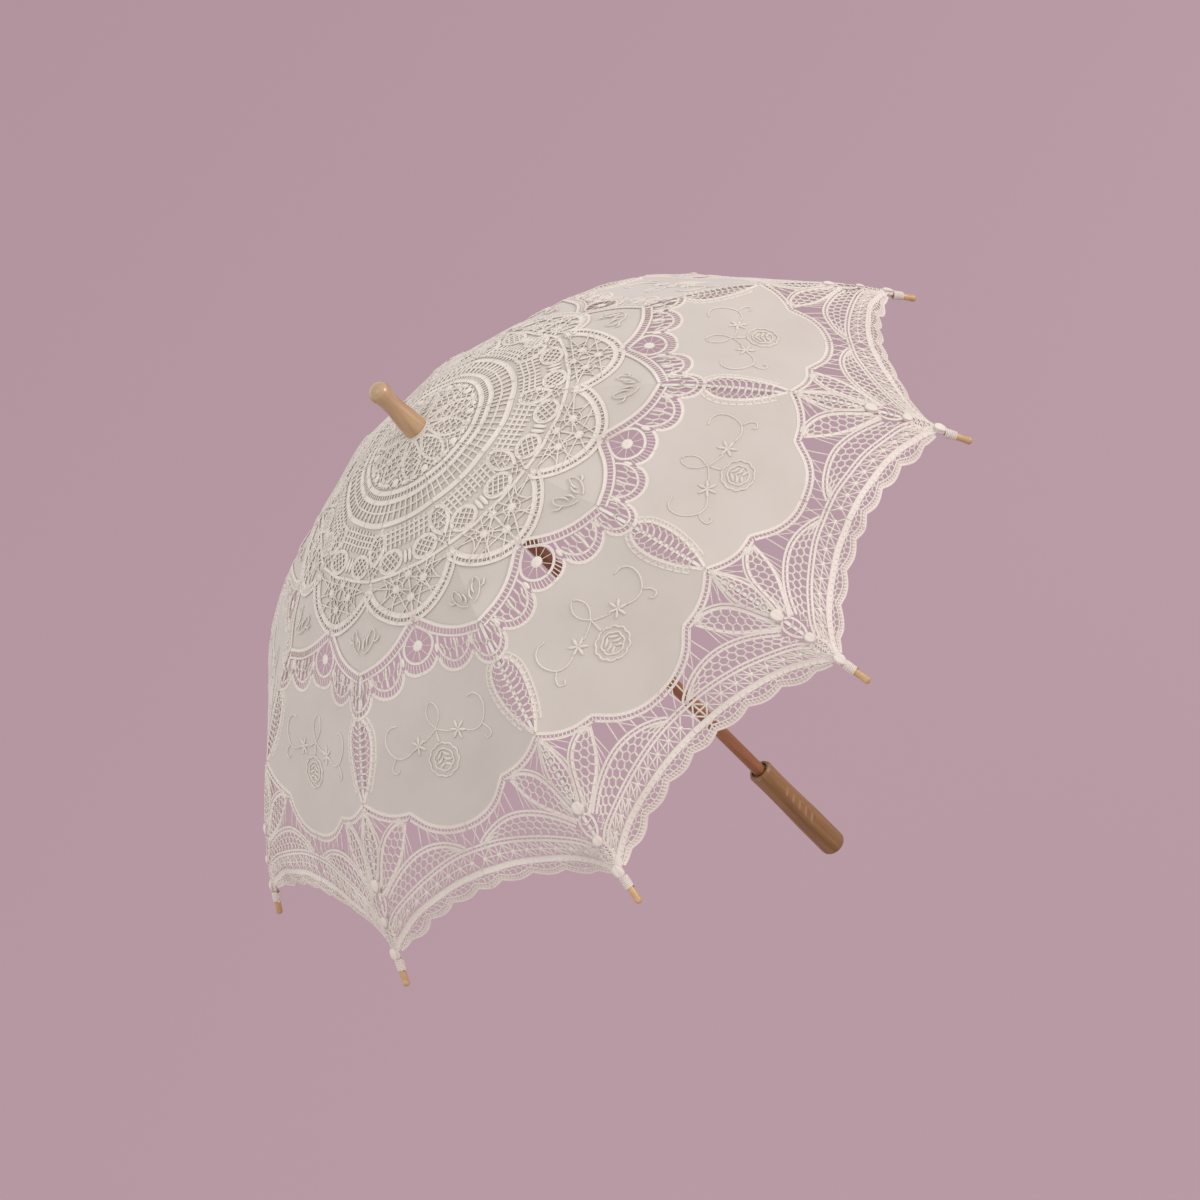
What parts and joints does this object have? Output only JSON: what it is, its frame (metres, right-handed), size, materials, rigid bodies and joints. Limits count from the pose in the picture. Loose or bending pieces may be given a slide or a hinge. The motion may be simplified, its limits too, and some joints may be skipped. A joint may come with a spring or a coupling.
{
  "type": "parasol",
  "caption": "Folding lace parasol with a domed tape-lace canopy, wooden shaft, turned handle and ferrule.",
  "frame": {"origin": "middle of the straight round stretch of the handle's grip, on the shaft's axis", "axes": "+Z along the shaft from the handle to the ferrule, +X through the first rib"},
  "size_m": [0.7626, 0.7254, 0.6531],
  "materials": {
    "shaft_wood": "satin varnish, reddish brown",
    "handle_wood": "satin varnish, brown",
    "ferrule_wood": "gloss varnish, light tan",
    "tip_wood": "satin, light tan",
    "fitting_metal": "nickel plated, satin",
    "wire": "drawn wire",
    "spring_steel": "spring steel",
    "rib_steel": "white enamel",
    "cloth": "plain woven cotton",
    "lace": "cotton tape lace with plain panels"
  },
  "bodies": {
    "shaft": {"shaft": "shaft_wood", "handle": "handle_wood", "ferrule": "ferrule_wood", "crown": "fitting_metal", "crown_wire": "wire", "crown_pin": "wire", "stop_pin": "wire", "canopy_centre": "cloth"},
    "rib_1": {"rib_1": "rib_steel", "rib_tip_1": "tip_wood", "canopy_gore_1": "lace"},
    "rib_2": {"rib_2": "rib_steel", "rib_tip_2": "tip_wood", "canopy_gore_2": "lace"},
    "rib_3": {"rib_3": "rib_steel", "rib_tip_3": "tip_wood", "canopy_gore_3": "lace"},
    "rib_4": {"rib_4": "rib_steel", "rib_tip_4": "tip_wood", "canopy_gore_4": "lace"},
    "rib_5": {"rib_5": "rib_steel", "rib_tip_5": "tip_wood", "canopy_gore_5": "lace"},
    "rib_6": {"rib_6": "rib_steel", "rib_tip_6": "tip_wood", "canopy_gore_6": "lace"},
    "rib_7": {"rib_7": "rib_steel", "rib_tip_7": "tip_wood", "canopy_gore_7": "lace"},
    "rib_8": {"rib_8": "rib_steel", "rib_tip_8": "tip_wood", "canopy_gore_8": "lace"},
    "rib_9": {"rib_9": "rib_steel", "rib_tip_9": "tip_wood", "canopy_gore_9": "lace"},
    "rib_10": {"rib_10": "rib_steel", "rib_tip_10": "tip_wood", "canopy_gore_10": "lace"},
    "stretcher_1": {"stretcher_1": "rib_steel"},
    "stretcher_2": {"stretcher_2": "rib_steel"},
    "stretcher_3": {"stretcher_3": "rib_steel"},
    "stretcher_4": {"stretcher_4": "rib_steel"},
    "stretcher_5": {"stretcher_5": "rib_steel"},
    "stretcher_6": {"stretcher_6": "rib_steel"},
    "stretcher_7": {"stretcher_7": "rib_steel"},
    "stretcher_8": {"stretcher_8": "rib_steel"},
    "stretcher_9": {"stretcher_9": "rib_steel"},
    "stretcher_10": {"stretcher_10": "rib_steel"},
    "runner": {"runner": "fitting_metal", "runner_wire": "wire"},
    "top_spring": {"top_spring": "spring_steel"},
    "bottom_spring": {"bottom_spring": "spring_steel"}
  },
  "joints": [
    {"name": "rib_1_fold", "type": "hinge", "parent": "shaft", "child": "rib_1", "pos_m": [0.011, 0, 0.56749], "axis": [0, 1, 0], "range_deg": [0, 57.19], "deforming": ["canopy_gore_1", "top_spring", "bottom_spring"]},
    {"name": "rib_2_fold", "type": "hinge", "parent": "shaft", "child": "rib_2", "pos_m": [0.0089, 0.00647, 0.56749], "axis": [-0.5878, 0.809, 0], "range_deg": [-0.5, 57.69], "deforming": ["canopy_gore_2"]},
    {"name": "rib_3_fold", "type": "hinge", "parent": "shaft", "child": "rib_3", "pos_m": [0.0034, 0.01046, 0.56749], "axis": [-0.9511, 0.309, 0], "range_deg": [-0.5, 57.69], "deforming": ["canopy_gore_3"]},
    {"name": "rib_4_fold", "type": "hinge", "parent": "shaft", "child": "rib_4", "pos_m": [-0.0034, 0.01046, 0.56749], "axis": [-0.9511, -0.309, 0], "range_deg": [-0.5, 57.69], "deforming": ["canopy_gore_4"]},
    {"name": "rib_5_fold", "type": "hinge", "parent": "shaft", "child": "rib_5", "pos_m": [-0.0089, 0.00647, 0.56749], "axis": [-0.5878, -0.809, 0], "range_deg": [-0.5, 57.69], "deforming": ["canopy_gore_5"]},
    {"name": "rib_6_fold", "type": "hinge", "parent": "shaft", "child": "rib_6", "pos_m": [-0.011, 0, 0.56749], "axis": [0, -1, 0], "range_deg": [-0.5, 57.69], "deforming": ["canopy_gore_6"]},
    {"name": "rib_7_fold", "type": "hinge", "parent": "shaft", "child": "rib_7", "pos_m": [-0.0089, -0.00647, 0.56749], "axis": [0.5878, -0.809, 0], "range_deg": [-0.5, 57.69], "deforming": ["canopy_gore_7"]},
    {"name": "rib_8_fold", "type": "hinge", "parent": "shaft", "child": "rib_8", "pos_m": [-0.0034, -0.01046, 0.56749], "axis": [0.9511, -0.309, 0], "range_deg": [-0.5, 57.69], "deforming": ["canopy_gore_8"]},
    {"name": "rib_9_fold", "type": "hinge", "parent": "shaft", "child": "rib_9", "pos_m": [0.0034, -0.01046, 0.56749], "axis": [0.9511, 0.309, 0], "range_deg": [-0.5, 57.69], "deforming": ["canopy_gore_9"]},
    {"name": "rib_10_fold", "type": "hinge", "parent": "shaft", "child": "rib_10", "pos_m": [0.0089, -0.00647, 0.56749], "axis": [0.5878, 0.809, 0], "range_deg": [-0.5, 57.69], "deforming": ["canopy_gore_10"]},
    {"name": "stretcher_1_pivot", "type": "hinge", "parent": "rib_1", "child": "stretcher_1", "pos_m": [0.16971, 0, 0.52237], "axis": [0, 1, 0], "range_deg": [-115.38, 1]},
    {"name": "stretcher_2_pivot", "type": "hinge", "parent": "rib_2", "child": "stretcher_2", "pos_m": [0.1373, 0.09975, 0.52237], "axis": [-0.5878, 0.809, 0], "range_deg": [-115.38, 1]},
    {"name": "stretcher_3_pivot", "type": "hinge", "parent": "rib_3", "child": "stretcher_3", "pos_m": [0.05244, 0.1614, 0.52237], "axis": [-0.9511, 0.309, 0], "range_deg": [-115.38, 1]},
    {"name": "stretcher_4_pivot", "type": "hinge", "parent": "rib_4", "child": "stretcher_4", "pos_m": [-0.05244, 0.1614, 0.52237], "axis": [-0.9511, -0.309, 0], "range_deg": [-115.38, 1]},
    {"name": "stretcher_5_pivot", "type": "hinge", "parent": "rib_5", "child": "stretcher_5", "pos_m": [-0.1373, 0.09975, 0.52237], "axis": [-0.5878, -0.809, 0], "range_deg": [-115.38, 1]},
    {"name": "stretcher_6_pivot", "type": "hinge", "parent": "rib_6", "child": "stretcher_6", "pos_m": [-0.16971, 0, 0.52237], "axis": [0, -1, 0], "range_deg": [-115.38, 1]},
    {"name": "stretcher_7_pivot", "type": "hinge", "parent": "rib_7", "child": "stretcher_7", "pos_m": [-0.1373, -0.09975, 0.52237], "axis": [0.5878, -0.809, 0], "range_deg": [-115.38, 1]},
    {"name": "stretcher_8_pivot", "type": "hinge", "parent": "rib_8", "child": "stretcher_8", "pos_m": [-0.05244, -0.1614, 0.52237], "axis": [0.9511, -0.309, 0], "range_deg": [-115.38, 1]},
    {"name": "stretcher_9_pivot", "type": "hinge", "parent": "rib_9", "child": "stretcher_9", "pos_m": [0.05244, -0.1614, 0.52237], "axis": [0.9511, 0.309, 0], "range_deg": [-115.38, 1]},
    {"name": "stretcher_10_pivot", "type": "hinge", "parent": "rib_10", "child": "stretcher_10", "pos_m": [0.1373, -0.09975, 0.52237], "axis": [0.5878, 0.809, 0], "range_deg": [-115.38, 1]},
    {"name": "runner_travel", "type": "hinge", "parent": "stretcher_1", "child": "runner", "pos_m": [0.011, 0, 0.47724], "axis": [0, 1, 0], "range_deg": [-0.5, 57.69]},
    {"name": "top_spring_press", "type": "slide", "parent": "shaft", "child": "top_spring", "axis": [-1, 0, 0], "range_m": [0, 0.003], "stiffness_N_per_m": 250},
    {"name": "bottom_spring_press", "type": "slide", "parent": "shaft", "child": "bottom_spring", "axis": [-1, 0, 0], "range_m": [0, 0.003], "stiffness_N_per_m": 250}
  ],
  "couplings": [
    {"joint": "rib_2_fold", "follows": "rib_1_fold", "ratio": 1},
    {"joint": "rib_3_fold", "follows": "rib_1_fold", "ratio": 1},
    {"joint": "rib_4_fold", "follows": "rib_1_fold", "ratio": 1},
    {"joint": "rib_5_fold", "follows": "rib_1_fold", "ratio": 1},
    {"joint": "rib_6_fold", "follows": "rib_1_fold", "ratio": 1},
    {"joint": "rib_7_fold", "follows": "rib_1_fold", "ratio": 1},
    {"joint": "rib_8_fold", "follows": "rib_1_fold", "ratio": 1},
    {"joint": "rib_9_fold", "follows": "rib_1_fold", "ratio": 1},
    {"joint": "rib_10_fold", "follows": "rib_1_fold", "ratio": 1},
    {"joint": "stretcher_1_pivot", "follows": "rib_1_fold", "ratio": -2},
    {"joint": "stretcher_2_pivot", "follows": "rib_1_fold", "ratio": -2},
    {"joint": "stretcher_3_pivot", "follows": "rib_1_fold", "ratio": -2},
    {"joint": "stretcher_4_pivot", "follows": "rib_1_fold", "ratio": -2},
    {"joint": "stretcher_5_pivot", "follows": "rib_1_fold", "ratio": -2},
    {"joint": "stretcher_6_pivot", "follows": "rib_1_fold", "ratio": -2},
    {"joint": "stretcher_7_pivot", "follows": "rib_1_fold", "ratio": -2},
    {"joint": "stretcher_8_pivot", "follows": "rib_1_fold", "ratio": -2},
    {"joint": "stretcher_9_pivot", "follows": "rib_1_fold", "ratio": -2},
    {"joint": "stretcher_10_pivot", "follows": "rib_1_fold", "ratio": -2},
    {"joint": "runner_travel", "follows": "rib_1_fold", "ratio": 1}
  ]
}
